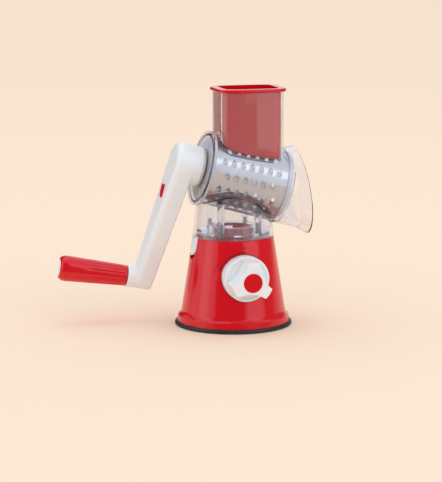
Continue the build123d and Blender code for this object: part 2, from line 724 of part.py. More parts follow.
def grip():
    """Red tapered grip with a domed end and shallow grooves."""
    start = GRIP_START
    end = GRIP_START + GRIP_LENGTH
    outline = (
        Line((0, start), (GRIP_INNER_R - 1, start))
        + Line((GRIP_INNER_R - 1, start), (GRIP_INNER_R, start + 1))
        + Line((GRIP_INNER_R, start + 1), (GRIP_OUTER_R, end - 9.0))
        + ThreePointArc((GRIP_OUTER_R, end - 9.0), (12.1, end - 2.8), (8.9, end))
        + Line((8.9, end), (0, end))
        + Line((0, end), (0, start))
    )
    body = revolve(Plane.XZ * make_face(outline), Axis.Z)
    groove_r = GRIP_INNER_R + (GRIP_OUTER_R - GRIP_INNER_R) / 2
    for index in range(GRIP_RIBS):
        groove = Pos(groove_r + 0.35, 0, start + 24.5) * Rot(0, 2.4, 0) * Box(2.4, 1.3, 44.0)
        body -= Rot(0, 0, 360 * (index + 0.5) / GRIP_RIBS) * groove
    body -= ring(start - 1, end, AXLE_R + RUN_CLEARANCE)
    body -= ring(end - 7.0, end + 1, 8.8)
    return GRIP_FRAME * body


def grip_end_cap():
    """White cap that closes the grip's outer end."""
    cap = ring(GRIP_START + GRIP_LENGTH - 2.2, GRIP_START + GRIP_LENGTH + 0.8, 8.8)
    cap = fillet(cap.edges().group_by(Axis.Z)[-1], 0.8)
    return GRIP_FRAME * cap


def grip_axle():
    """Steel axle that the grip turns on, headed under the end cap."""
    end = GRIP_START + GRIP_LENGTH
    axle = ring(-7.0, end - 6.7, AXLE_R) + ring(end - 6.7, end - 4.4, 6.0)
    axle -= ring(end - 5.4, end, 1.6)
    return GRIP_FRAME * axle


PIECES = [
    base_shell,
    inner_frame,
    frame_screws,
    suction_pad,
    pad_ring,
    shaft_bush,
    release_button,
    latch_spring,
    knob,
    knob_cap,
    knob_screw,
    cam_shaft,
    pull_stem,
    stem_plate,
    stem_spring,
    main_housing,
    coupling_plate,
    plate_screws,
    rear_bush,
    pusher,
    drum_blade,
    drum_rear_plate,
    drum_front_ring,
    arm_outer_shell,
    arm_inner_shell,
    drive_shaft,
    thrust_washer,
    arm_screws,
    crank_button,
    button_spring,
    grip,
    grip_end_cap,
    grip_axle,
]

for piece in PIECES:
    save(piece(), piece.__name__)
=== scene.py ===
import json
import logging
import math
from dataclasses import dataclass
from enum import Enum
from typing import Callable, Iterable, Sequence

import bmesh
import bpy
from mathutils import Matrix, Vector


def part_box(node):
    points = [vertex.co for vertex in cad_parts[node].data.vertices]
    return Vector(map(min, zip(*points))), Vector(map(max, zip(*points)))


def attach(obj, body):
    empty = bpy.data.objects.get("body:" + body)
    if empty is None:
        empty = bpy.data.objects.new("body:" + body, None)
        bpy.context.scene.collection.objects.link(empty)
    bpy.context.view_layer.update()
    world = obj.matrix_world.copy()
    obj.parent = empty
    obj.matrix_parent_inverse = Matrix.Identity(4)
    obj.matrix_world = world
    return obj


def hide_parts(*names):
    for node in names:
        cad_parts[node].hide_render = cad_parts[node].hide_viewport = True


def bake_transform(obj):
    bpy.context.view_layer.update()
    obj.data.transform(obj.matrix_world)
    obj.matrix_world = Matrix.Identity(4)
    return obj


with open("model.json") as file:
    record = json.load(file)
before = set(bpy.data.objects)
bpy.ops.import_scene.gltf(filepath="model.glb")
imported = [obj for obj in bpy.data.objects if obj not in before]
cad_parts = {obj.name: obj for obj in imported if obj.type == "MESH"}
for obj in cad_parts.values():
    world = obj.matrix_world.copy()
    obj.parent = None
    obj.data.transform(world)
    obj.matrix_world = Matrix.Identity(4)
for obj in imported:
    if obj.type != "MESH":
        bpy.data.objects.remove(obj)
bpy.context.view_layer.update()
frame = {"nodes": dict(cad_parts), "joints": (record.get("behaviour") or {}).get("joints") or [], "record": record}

# Looks of a hand-cranked drum grater: a steel drum in a clear housing on a
# conical suction base, with a food pusher, a crank and a lock knob.
# Metres, +Z up, origin in the middle of the face that it rests on.

LOG = logging.getLogger("drum_grater")
MM = 0.001
UP = Vector((0, 0, 1))
RIGHT = Vector((1, 0, 0))

Outline = Sequence[tuple[float, float]]


class Body(Enum):
    """The moving bodies that pieces ride on."""

    BASE = "base"
    RELEASE = "release"
    KNOB = "lock_knob"
    STEM = "stem"
    HOUSING = "housing"
    PUSHER = "pusher"
    DRUM = "drum"
    CRANK = "crank"
    CRANK_RELEASE = "crank_release"
    GRIP = "grip"


class Slot(Enum):
    """The finishes that the record names."""

    RED = "red_abs"
    WHITE = "white_abs"
    CLEAR = "clear_plastic"
    SHEET = "steel_sheet"
    SCREW = "steel_screw"
    RUBBER = "rubber"
    GREY = "grey_pom"
    # Cream acetal slot: its warm tint is partly painted shade by the crank hub.
    CREAM = "cream_pom"
    DARK = "dark_abs"


# ------------------------------------------------------------- finishes


def srgb(code: str) -> tuple[float, float, float, float]:
    """Linear colour of an sRGB hex code.

    Args:
        code: Six hex digits, such as "C8141E".

    Returns:
        Linear red, green and blue with an alpha of 1.
    """
    values = [int(code[i : i + 2], 16) / 255 for i in (0, 2, 4)]
    linear = [v / 12.92 if v <= 0.04045 else ((v + 0.055) / 1.055) ** 2.4 for v in values]
    return (linear[0], linear[1], linear[2], 1.0)


def add_node(
    tree: bpy.types.NodeTree,
    kind: str,
    inputs: dict[str | int, object] | None = None,
    **settings: object,
) -> bpy.types.Node:
    """Adds one node with its settings, values and links.

    Args:
        tree: The node tree that it goes in.
        kind: The node's type.
        inputs: Input name or number to a value, or to the socket that feeds it.
        **settings: The node's own properties.

    Returns:
        The new node.
    """
    node = tree.nodes.new(kind)
    for name, value in settings.items():
        setattr(node, name, value)
    for key, value in (inputs or {}).items():
        if isinstance(value, bpy.types.NodeSocket):
            tree.links.new(value, node.inputs[key])
        else:
            node.inputs[key].default_value = value
    return node


def per_mm(size_mm: float) -> float:
    """Texture scale that gives features of one real size in millimetres."""
    return 1.0 / (size_mm * MM)


@dataclass(frozen=True)
class Finish:
    """A moulded or rolled surface: colour, how glossy, and how fine its texture is.

    The cloud is the slow drift of colour and gloss that handling and moulding
    leave; the grain is the fine unevenness that breaks up a reflection.
    """

    name: str
    colour: str
    second: str
    roughness: float
    roughness_spread: float = 0.05
    cloud_mm: float = 30.0
    grain_mm: float = 2.0
    grain_height_mm: float = 0.01
    stretch: tuple[float, float, float] = (1.0, 1.0, 1.0)
    metallic: float = 0.0
    ior: float = 1.5
    subsurface_mm: float = 0.0

    def surface(self, tree: bpy.types.NodeTree) -> bpy.types.Node:
        """Builds the nodes of the surface.

        Args:
            tree: The material's node tree.

        Returns:
            The Principled shader that ends them.
        """
        place = add_node(tree, "ShaderNodeTexCoord").outputs["Object"]
        drawn = add_node(tree, "ShaderNodeMapping", {"Vector": place, "Scale": self.stretch})
        cloud = add_node(
            tree, "ShaderNodeTexNoise", {"Vector": place, "Scale": per_mm(self.cloud_mm), "Detail": 3.0}
        ).outputs["Fac"]
        grain = add_node(
            tree,
            "ShaderNodeTexNoise",
            {"Vector": drawn.outputs["Vector"], "Scale": per_mm(self.grain_mm), "Detail": 4.0},
        ).outputs["Fac"]
        tone = add_node(
            tree,
            "ShaderNodeMix",
            {0: cloud, 6: srgb(self.colour), 7: srgb(self.second)},
            data_type="RGBA",
        ).outputs[2]
        low, high = self.roughness - self.roughness_spread, self.roughness + self.roughness_spread
        gloss = add_node(
            tree, "ShaderNodeMapRange", {"Value": cloud, "To Min": max(low, 0.01), "To Max": high}
        ).outputs["Result"]
        bump = add_node(
            tree,
            "ShaderNodeBump",
            {"Height": grain, "Strength": 0.5, "Distance": self.grain_height_mm * MM},
        ).outputs["Normal"]
        shader = add_node(
            tree,
            "ShaderNodeBsdfPrincipled",
            {"Base Color": tone, "Roughness": gloss, "Normal": bump, "Metallic": self.metallic},
        )
        if self.metallic == 0:
            shader.inputs["IOR"].default_value = self.ior
        if self.subsurface_mm > 0:
            shader.inputs["Subsurface Weight"].default_value = 0.4
            shader.inputs["Subsurface Radius"].default_value = (1.0, 1.0, 0.9)
            shader.inputs["Subsurface Scale"].default_value = self.subsurface_mm * MM
        return shader

    def material(self) -> bpy.types.Material:
        """Makes the material once and then shares it.

        Returns:
            The finished material.
        """
        made = bpy.data.materials.get(self.name)
        if made is None:
            made = bpy.data.materials.new(self.name)
            made.use_nodes = True
            made.node_tree.nodes.clear()
            self.close(made.node_tree, self.surface(made.node_tree))
        return made

    def close(self, tree: bpy.types.NodeTree, shader: bpy.types.Node) -> None:
        """Joins the shader to the material's output."""
        add_node(tree, "ShaderNodeOutputMaterial", {"Surface": shader.outputs["BSDF"]})


@dataclass(frozen=True)
class ClearFinish(Finish):
    """Clear injection-moulded styrene: glassy, with a cold violet cast along its edges."""

    clearness: float = 0.97
    edge_colour: str = "C4C1DE"
    edge_density: float = 14.0

    def close(self, tree: bpy.types.NodeTree, shader: bpy.types.Node) -> None:
        """Makes the shader clear, lets lamps through it and tints its depth.

        Args:
            tree: The material's node tree.
            shader: The Principled shader of its surface.
        """
        shader.inputs["Transmission Weight"].default_value = self.clearness
        path = add_node(tree, "ShaderNodeLightPath")
        lamp = add_node(tree, "ShaderNodeBsdfTransparent", {"Color": srgb("F0EFF6")})
        both = add_node(
            tree,
            "ShaderNodeMixShader",
            {0: path.outputs["Is Shadow Ray"], 1: shader.outputs["BSDF"], 2: lamp.outputs["BSDF"]},
        )
        depth = add_node(
            tree,
            "ShaderNodeVolumeAbsorption",
            {"Color": srgb(self.edge_colour), "Density": self.edge_density},
        )
        add_node(
            tree,
            "ShaderNodeOutputMaterial",
            {"Surface": both.outputs["Shader"], "Volume": depth.outputs["Volume"]},
        )


# High-gloss ABS takes a polished mould's surface: deep colour, sharp highlights.
RED_ABS = Finish("gloss_red_abs", "DA061C", "D00516", 0.16, 0.03, 45.0, 6.0, 0.004, ior=1.5)
# White ABS is a little softer in gloss and lets light in slightly at its edges.
WHITE_ABS = Finish(
    "moulded_white_abs", "F1F5F8", "EBEFF3", 0.3, 0.05, 40.0, 4.0, 0.006, ior=1.5, subsurface_mm=0.4
)
# Clear styrene: polished on both faces.
CLEAR_SAN = ClearFinish("clear_moulded_styrene", "FBFCFF", "F8F9FE", 0.03, 0.01, 50.0, 9.0, 0.003, ior=1.5)
# Stainless sheet, rolled bright: long faint rolling marks round the drum.
STEEL_SHEET = Finish(
    "bright_stainless_sheet", "D4D6D8", "C6C8CB", 0.13, 0.04, 20.0, 0.8, 0.004, (0.15, 1, 1), metallic=1.0
)
# Zinc-plated screws: greyer and duller than the sheet.
STEEL_SCREW = Finish("zinc_plated_steel", "A9ACB0", "9A9EA6", 0.3, 0.08, 2.0, 0.4, 0.01, metallic=1.0)
# Soft thermoplastic rubber: matt, dark, slightly dusty.
RUBBER = Finish("matt_black_rubber", "1B1B1D", "2A2A2C", 0.55, 0.08, 12.0, 0.6, 0.03, ior=1.5)
GREY_POM = Finish("grey_acetal", "8E8E91", "868689", 0.4, 0.05, 15.0, 1.0, 0.01, ior=1.48)
# Cream acetal: the beige is partly the washer's own colour and partly painted shade. Its warm brownish tint stands
# in for the shade in the gap between the crank hub and the housing.
CREAM_POM_AND_HUB_SHADE = Finish("acetal_and_painted_hub_shade", "E3D6C8", "D9C9BA", 0.4, 0.05, 15.0, 1.0, 0.01, ior=1.48)
DARK_ABS = Finish("dark_grey_abs", "2B2B2D", "333336", 0.4, 0.05, 15.0, 1.0, 0.01, ior=1.54)
PRINT_INK = Finish("black_pad_print", "26171A", "301C1F", 0.45, 0.05, 4.0, 0.3, 0.004)

FINISHES: dict[Slot, Finish] = {
    Slot.RED: RED_ABS,
    Slot.WHITE: WHITE_ABS,
    Slot.CLEAR: CLEAR_SAN,
    Slot.SHEET: STEEL_SHEET,
    Slot.SCREW: STEEL_SCREW,
    Slot.RUBBER: RUBBER,
    Slot.GREY: GREY_POM,
    Slot.CREAM: CREAM_POM_AND_HUB_SHADE,
    Slot.DARK: DARK_ABS,
}

# -------------------------------------------------------------- making


def joint_frame(name: str, up: Vector, shift: float = 0.0) -> Matrix:
    """Local frame of a joint: z along its axis, x as near to a direction as it can be.

    Args:
        name: The joint's name.
        up: The direction that local x leans to.
        shift: How far along the axis the origin is moved.

    Returns:
        The matrix from the local frame to the row frame.
    """
    joint = next(j for j in frame["joints"] if j["name"] == name)
    z_dir = Vector(joint["axis"]).normalized()
    x_dir = (up - up.dot(z_dir) * z_dir).normalized()
    made = Matrix((x_dir, z_dir.cross(x_dir), z_dir)).transposed().to_4x4()
    made.translation = Vector(joint["pos_m"]) + z_dir * shift
    return made


def take(obj: bpy.types.Object) -> bpy.types.Object:
    """Makes one object the only selected one, and the active one.

    Args:
        obj: The object.

    Returns:
        The same object.
    """
    bpy.ops.object.select_all(action="DESELECT")
    obj.select_set(True)
    bpy.context.view_layer.objects.active = obj
    return obj


def select_faces(obj: bpy.types.Object, test: Callable[[bmesh.types.BMFace], bool]) -> int:
    """Selects faces of the object in edit mode by a test on each.

    Args:
        obj: The object, already in edit mode.
        test: Says whether a face is selected.

    Returns:
        How many faces were selected.
    """
    bpy.ops.mesh.select_mode(type="FACE")
    mesh = bmesh.from_edit_mesh(obj.data)
    for face in mesh.faces:
        face.select_set(bool(test(face)))
    mesh.select_flush_mode()
    bmesh.update_edit_mesh(obj.data)
    return sum(1 for face in mesh.faces if face.select)


def apply_modifier(obj: bpy.types.Object, kind: str, **settings: object) -> None:
    """Adds a modifier to the object, sets it and applies it.

    Args:
        obj: The object.
        kind: The modifier's type.
        **settings: The modifier's own properties.
    """
    take(obj)
    modifier = obj.modifiers.new(kind.title(), kind)
    for name, value in settings.items():
        setattr(modifier, name, value)
    bpy.ops.object.modifier_apply(modifier=modifier.name)


def turned(name: str, outline: Outline, steps: int = 96, closed: bool = True) -> bpy.types.Object:
    """Turned piece: a circle is extruded and scaled from station to station.

    Args:
        name: The new object's name.
        outline: (radius, height) stations in millimetres.
        steps: How many sides the circle has.
        closed: Whether the last station is joined to the first.

    Returns:
        The object, turned about local Z.
    """
    stations = list(outline) + ([outline[0]] if closed else [])
    radius, height = stations[0]
    bpy.ops.object.select_all(action="DESELECT")
    bpy.ops.mesh.primitive_circle_add(vertices=steps, radius=radius * MM, location=(0, 0, height * MM))
    obj = bpy.context.object
    obj.name = name
    bpy.ops.object.transform_apply(location=True, rotation=True, scale=True)
    bpy.ops.object.mode_set(mode="EDIT")
    bpy.ops.mesh.select_mode(type="VERT")
    bpy.ops.mesh.select_all(action="SELECT")
    for next_radius, next_height in stations[1:]:
        bpy.ops.mesh.extrude_region_move(
            TRANSFORM_OT_translate={"value": (0, 0, (next_height - height) * MM)}
        )
        scale = next_radius / radius
        bpy.ops.transform.resize(value=(scale, scale, 1), center_override=(0, 0, next_height * MM))
        radius, height = next_radius, next_height
    bpy.ops.mesh.select_all(action="SELECT")
    bpy.ops.mesh.remove_doubles(threshold=0.002 * MM)
    bpy.ops.mesh.normals_make_consistent(inside=False)
    bpy.ops.object.mode_set(mode="OBJECT")
    return obj


def soften(obj: bpy.types.Object, width_mm: float, segments: int = 3, angle: float = 30.0) -> None:
    """Rounds the object's sharp edges and smooths its faces up to that angle.

    Args:
        obj: The object.
        width_mm: Width of the rounding.
        segments: How many faces it has.
        angle: The least angle of an edge that is rounded, in degrees.
    """
    apply_modifier(
        obj,
        "BEVEL",
        width=width_mm * MM,
        segments=segments,
        limit_method="ANGLE",
        angle_limit=math.radians(angle),
        use_clamp_overlap=True,
    )
    bpy.ops.object.shade_smooth_by_angle(angle=math.radians(angle))


def place(obj: bpy.types.Object, matrix: Matrix) -> None:
    """Puts the object in the row frame, with its place in its mesh.

    Args:
        obj: The object, made in a local frame.
        matrix: From that frame to the row frame.
    """
    obj.matrix_world = matrix
    take(obj)
    bpy.ops.object.transform_apply(location=True, rotation=True, scale=True)


def join(pieces: Sequence[bpy.types.Object]) -> bpy.types.Object:
    """Joins pieces into the first one.

    Args:
        pieces: The pieces.

    Returns:
        The first piece, which holds them all.
    """
    take(pieces[0])
    for piece in pieces[1:]:
        piece.select_set(True)
    bpy.ops.object.join()
    return pieces[0]


def hand_over(
    obj: bpy.types.Object, finish: Finish, body: Body, replaces: Iterable[str] = ()
) -> bpy.types.Object:
    """Dresses a finished piece and fixes it to its body.

    Args:
        obj: The piece, in place.
        finish: Its surface.
        body: The body that it rides on.
        replaces: The CAD nodes that it stands for.

    Returns:
        The piece.
    """
    obj.data.materials.clear()
    obj.data.materials.append(finish.material())
    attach(obj, body.value)
    if replaces:
        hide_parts(*replaces)
    LOG.info("%s: %d faces, rides on %s", obj.name, len(obj.data.polygons), body.value)
    return obj


# ------------------------------------------------------------ sub-assemblies


@dataclass
class CadDress:
    """Gives each carried-over CAD node the finish of its slot in the record."""

    slots: dict[str, Slot]

    @classmethod
    def from_record(cls) -> "CadDress":
        """Reads each node's slot from the record."""
        return cls({part["node"]: Slot(part["material_slot"]) for part in frame["record"]["subparts"]})

    def dress(self) -> None:
        """Assigns the finishes and reports each node."""
        for name, slot in self.slots.items():
            node = frame["nodes"][name]
            node.data.materials.clear()
            node.data.materials.append(FINISHES[slot].material())
            LOG.info("%s: CAD node in %s", name, slot.value)


@dataclass
class SuctionPad:
    """Rubber pad with a round rim that the base stands on, and a boss for the stem."""

    rim_mm: float = 60.5
    seat_mm: float = 59.1
    rim_height_mm: float = 4.2

    def build(self) -> bpy.types.Object:
        """Turns the pad.

        Returns:
            The pad.
        """
        rim, top = self.rim_mm, self.rim_height_mm
        outline = [
            (3.1, 9.0), (7.6, 9.0), (7.6, 7.9), (3.0, 7.9), (3.0, 5.6), (9.0, 5.5), (20.0, 4.4), (33.0, 2.8),
            (45.0, 1.0), (47.5, 0.2), (49.0, 0.0), (rim - 1.6, 0.0), (rim - 0.5, 0.35), (rim, 1.2),
            (rim - 0.2, 2.6), (self.seat_mm, top), (52.0, top), (45.5, top), (33.0, 5.4), (20.0, 6.9),
            (12.0, 8.4), (10.9, 9.6), (10.5, 13.2), (10.0, 14.0), (3.1, 14.0), (3.1, 11.0),
        ]
        pad = turned("suction_pad_soft", outline, 128)
        soften(pad, 0.25, 2)
        pad.data.materials.append(RUBBER.material())
        low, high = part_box("stem_plate")
        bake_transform(pad)
        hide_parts("suction_pad")
        LOG.info("%s: %d faces, bends from base to stem", pad.name, len(pad.data.polygons))
        return pad


@dataclass
class BaseTrim:
    """Raised swoosh ribs and the printed turning scale on the base's cone."""

    top_radius_mm: float = 41.8
    top_z_mm: float = 92.5
    waist_radius_mm: float = 53.6
    waist_z_mm: float = 16.0
    knob_z_mm: float = 55.2
    rib_mm: float = 0.8
    rib_sink: float = 0.25
    rib_end: float = 0.35
    scale_radius_mm: float = 26.0
    scale_half_width_mm: float = 0.35
    scale_start_deg: float = 90.0
    scale_end_deg: float = 160.0
    dot_mm: float = 0.95
    mark_mm: float = 0.62
    mark_radius_mm: float = 30.4
    mark_angles: tuple[float, ...] = (86.5, 90, 93.5, 152, 158, 164, 170)
    ink_mm: float = 0.05
    ink_lift_mm: float = 0.06

    def cone_radius(self, z_mm: float) -> float:
        """Radius of the cone at a height, in millimetres."""
        share = (self.top_z_mm - z_mm) / (self.top_z_mm - self.waist_z_mm)
        return self.top_radius_mm + (self.waist_radius_mm - self.top_radius_mm) * share

    def rib(self, name: str, stations: Sequence[tuple[float, float]]) -> bpy.types.Object:
        """One raised rib along the cone.

        Args:
            name: The rib's name.
            stations: (angle in degrees from the front, height in millimetres).

        Returns:
            The rib.
        """
        curve = bpy.data.curves.new(name, "CURVE")
        curve.dimensions = "3D"
        curve.bevel_depth = self.rib_mm * MM
        curve.bevel_resolution = 3
        curve.use_fill_caps = True
        curve.resolution_u = 12
        spline = curve.splines.new("NURBS")
        spline.points.add(len(stations) - 1)
        for point, (angle, z_mm) in zip(spline.points, stations):
            radius = self.cone_radius(z_mm) - self.rib_sink * self.rib_mm
            turn = math.radians(angle)
            point.co = (radius * math.sin(turn) * MM, -radius * math.cos(turn) * MM, z_mm * MM, 1)
        spline.points[0].radius = self.rib_end
        spline.points[-1].radius = self.rib_end
        spline.order_u = 4
        spline.use_endpoint_u = True
        obj = bpy.data.objects.new(name, curve)
        bpy.context.scene.collection.objects.link(obj)
        take(obj)
        bpy.ops.object.convert(target="MESH")
        bpy.ops.object.shade_smooth()
        return hand_over(obj, RED_ABS, Body.BASE)

    def wrap(self, obj: bpy.types.Object) -> None:
        """Lays a flat piece, drawn in the XZ plane, on the cone's front.

        Args:
            obj: The piece.
        """
        for vertex in obj.data.vertices:
            radius = self.cone_radius(vertex.co.z / MM) * MM + self.ink_lift_mm * MM
            vertex.co.y = -math.sqrt(radius**2 - vertex.co.x**2)

    def print_arc(self) -> bpy.types.Object:
        """The printed arc with a dot at each end and plain marks beside them.

        Returns:
            The printed scale.
        """
        inner = self.scale_radius_mm - self.scale_half_width_mm
        outer = self.scale_radius_mm + self.scale_half_width_mm
        bpy.ops.object.select_all(action="DESELECT")
        bpy.ops.mesh.primitive_circle_add(vertices=144, radius=inner * MM, rotation=(math.pi / 2, 0, 0))
        arc = bpy.context.object
        arc.name = "turning_scale_print"
        bpy.ops.object.transform_apply(location=True, rotation=True, scale=True)
        bpy.ops.object.mode_set(mode="EDIT")
        bpy.ops.mesh.select_mode(type="VERT")
        mesh = bmesh.from_edit_mesh(arc.data)
        for vertex in mesh.verts:
            angle = math.degrees(math.atan2(vertex.co.z, vertex.co.x))
            vertex.select_set(not self.scale_start_deg <= angle <= self.scale_end_deg)
        mesh.select_flush_mode()
        bmesh.update_edit_mesh(arc.data)
        bpy.ops.mesh.delete(type="VERT")
        bpy.ops.mesh.select_all(action="SELECT")
        bpy.ops.mesh.extrude_region_move()
        bpy.ops.transform.resize(value=(outer / inner, 1, outer / inner), center_override=(0, 0, 0))
        bpy.ops.object.mode_set(mode="OBJECT")
        ends = (self.scale_start_deg, self.scale_end_deg)
        marks = [self.disc(angle, self.scale_radius_mm, self.dot_mm) for angle in ends]
        marks += [self.disc(angle, self.mark_radius_mm, self.mark_mm) for angle in self.mark_angles]
        printed = join([arc, *marks])
        for vertex in printed.data.vertices:
            vertex.co.z += self.knob_z_mm * MM
        self.wrap(printed)
        apply_modifier(printed, "SOLIDIFY", thickness=self.ink_mm * MM, offset=-1.0)
        return hand_over(printed, PRINT_INK, Body.BASE)

    def disc(self, angle: float, radius_mm: float, size_mm: float) -> bpy.types.Object:
        """A printed dot about the knob's axis.

        Args:
            angle: Its angle, in degrees.
            radius_mm: Its distance from the axis.
            size_mm: Its own radius.

        Returns:
            The dot, flat in the XZ plane.
        """
        turn = math.radians(angle)
        spot = (radius_mm * math.cos(turn) * MM, 0, radius_mm * math.sin(turn) * MM)
        bpy.ops.object.select_all(action="DESELECT")
        bpy.ops.mesh.primitive_circle_add(
            vertices=20, radius=size_mm * MM, fill_type="TRIFAN", location=spot, rotation=(math.pi / 2, 0, 0)
        )
        bpy.ops.object.transform_apply(location=True, rotation=True, scale=True)
        return bpy.context.object

    def build(self) -> None:
        """Builds the ribs and the printed scale."""
        self.rib("swoosh_rib_upper", [(-52, 66), (-36, 67), (-16, 73), (2, 76.4), (22, 76.6), (42, 74.5)])
        self.rib("swoosh_rib_lower", [(-44, 37), (-30, 32), (-10, 26), (12, 24.5), (30, 27.5), (46, 33)])
        self.print_arc()


@dataclass
class LockKnob:
    """White knob: skirt, dished disc and a three-armed grip with finger scoops."""

    radius_mm: float = 23.4
    dish_radius_mm: float = 20.6
    dish_mm: float = 1.4
    floor_mm: float = 3.4
    arm_mm: float = 21.4
    height_mm: float = 21.7
    skirt_mm: float = 15.8
    cap_mm: float = 9.75
    bore_mm: float = 4.6
    scoop_mm: float = 31.8
    scoop_middle_mm: float = 43.9
    scoop_flare_mm: float = 0.5
    scoop_angles: tuple[float, ...] = (25.0, 145.0, 265.0)
    recess_mm: float = 4.2
    edge_mm: float = 0.9

    def disc(self) -> bpy.types.Object:
        """Turns the dished disc with its skirt.

        Returns:
            The disc, in the knob's frame.
        """
        rim, dish = self.radius_mm, self.dish_radius_mm
        outline = [
            (rim - 2.4, -self.skirt_mm), (rim, -self.skirt_mm), (rim, -1.2), (rim - 0.15, -0.6),
            (rim - 0.5, -0.15), (rim - 1.0, 0.0), (dish + 0.6, 0.0), (dish + 0.2, -0.2), (dish, -0.6),
            (dish - 0.3, -self.dish_mm), (self.bore_mm, -self.dish_mm), (self.bore_mm, -self.floor_mm),
            (rim - 2.4, -self.floor_mm),
        ]
        return turned("lock_knob", outline, 144)

    def grip(self) -> bpy.types.Object:
        """Turns the upright grip and cuts three finger scoops down its side.

        Returns:
            The grip, in the knob's frame.
        """
        top, arm, low = self.height_mm, self.arm_mm, -self.dish_mm - 1.0
        outline = [
            (self.bore_mm, low), (arm + 0.5, low), (arm - 0.4, top), (self.cap_mm, top),
            (self.cap_mm, top - self.recess_mm), (self.bore_mm, top - self.recess_mm),
        ]
        grip = turned("knob_grip", outline, 144)
        for angle in self.scoop_angles:
            turn = math.radians(angle)
            middle = Vector((math.cos(turn), math.sin(turn), 0)) * self.scoop_middle_mm
            bpy.ops.object.select_all(action="DESELECT")
            bpy.ops.mesh.primitive_cone_add(
                vertices=192,
                radius1=(self.scoop_mm - self.scoop_flare_mm) * MM,
                radius2=(self.scoop_mm + self.scoop_flare_mm) * MM,
                depth=(top + 8) * MM,
                location=(middle + Vector((0, 0, top / 2 - 1))) * MM,
            )
            scoop = bpy.context.object
            bpy.ops.object.transform_apply(location=True, rotation=True, scale=True)
            take(grip)
            apply_modifier(grip, "BOOLEAN", operation="DIFFERENCE", object=scoop, solver="EXACT")
            bpy.data.objects.remove(scoop)
        soften(grip, self.edge_mm, 4, 40)
        return grip

    def build(self) -> bpy.types.Object:
        """Builds the knob.

        Returns:
            The knob.
        """
        knob, grip = self.disc(), self.grip()
        apply_modifier(knob, "BOOLEAN", operation="UNION", object=grip, solver="EXACT")
        bpy.data.objects.remove(grip)
        take(knob)
        bpy.ops.object.shade_smooth_by_angle(angle=math.radians(32))
        place(knob, joint_frame("knob_turn", RIGHT))
        return hand_over(knob, WHITE_ABS, Body.KNOB, ["knob"])


